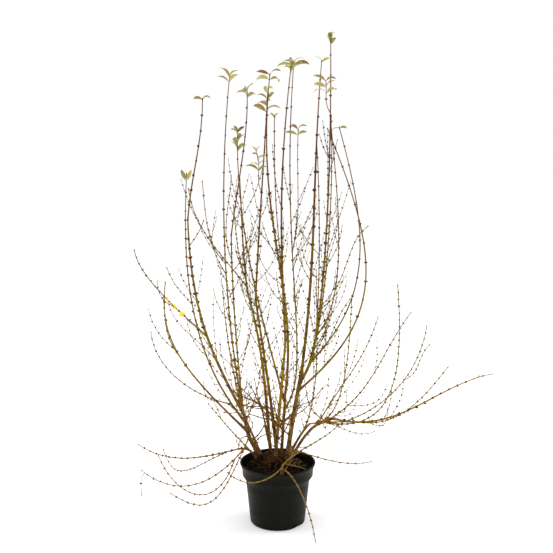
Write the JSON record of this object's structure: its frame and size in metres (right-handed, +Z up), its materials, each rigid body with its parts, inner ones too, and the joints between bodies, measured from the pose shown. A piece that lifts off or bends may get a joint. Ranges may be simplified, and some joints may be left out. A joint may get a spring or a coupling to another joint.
{
  "type": "potted border forsythia",
  "caption": "Upright, arching deciduous flowering shrub, bare but for young tip leaves and a few open flowers, standing free in a black plastic nursery pot of soil",
  "frame": {"origin": "the centre of the pot's flat underside, on the surface that it stands on", "axes": "+Z up, +X to the right and -Y towards the viewer of the reference view"},
  "size_m": [1.2006, 0.7817, 1.6559],
  "materials": {
    "pot": "black recycled polypropylene, satin matte",
    "soil": "moist bark-based potting compost, crumbly and matte",
    "bark": "tan-brown shrub bark with pale raised pores, matte",
    "twigs": "olive to purplish-brown twigs with dark paired buds, a few young leaves, semi-matte"
  },
  "bodies": {
    "root": {"pot": "pot", "soil": "soil", "bough_centre": "bark", "bough_centre_back": "bark", "bough_left_arch": "bark", "bough_left_back": "bark", "bough_left_front": "bark", "bough_left_inner": "bark", "bough_left_tall": "bark", "bough_right_arch": "bark", "bough_right_leaning": "bark", "bough_right_upright": "bark", "stem_back_left": "bark", "stem_back_right": "bark", "stem_front": "bark", "stem_inner": "bark", "stem_left": "bark", "stem_low_left": "bark", "stem_low_right": "bark", "stem_middle": "bark", "stem_middle_left": "bark", "stem_middle_right": "bark", "stem_right": "bark", "twigs_back_left_low": "twigs", "twigs_back_left_up": "twigs", "twigs_back_right": "twigs", "twigs_back_right_up": "twigs", "twigs_budded_left": "twigs", "twigs_centre": "twigs", "twigs_centre_back": "twigs", "twigs_droop_back": "twigs", "twigs_droop_left": "twigs", "twigs_droop_near": "twigs", "twigs_droop_right": "twigs", "twigs_front_droop": "twigs", "twigs_front_left": "twigs", "twigs_front_right": "twigs", "twigs_left_arch": "twigs", "twigs_left_back": "twigs", "twigs_left_front": "twigs", "twigs_left_inner": "twigs", "twigs_left_low": "twigs", "twigs_left_outer": "twigs", "twigs_left_tall": "twigs", "twigs_low_right_back": "twigs", "twigs_low_right_far": "twigs", "twigs_low_right_front": "twigs", "twigs_low_right_near": "twigs", "twigs_low_right_tip": "twigs", "twigs_middle": "twigs", "twigs_middle_left": "twigs", "twigs_middle_right": "twigs", "twigs_right_arch": "twigs", "twigs_right_arch_in": "twigs", "twigs_right_back": "twigs", "twigs_right_inner": "twigs", "twigs_right_leaning": "twigs", "twigs_right_mid": "twigs", "twigs_right_near": "twigs", "twigs_right_upright": "twigs"}
  },
  "joints": []
}
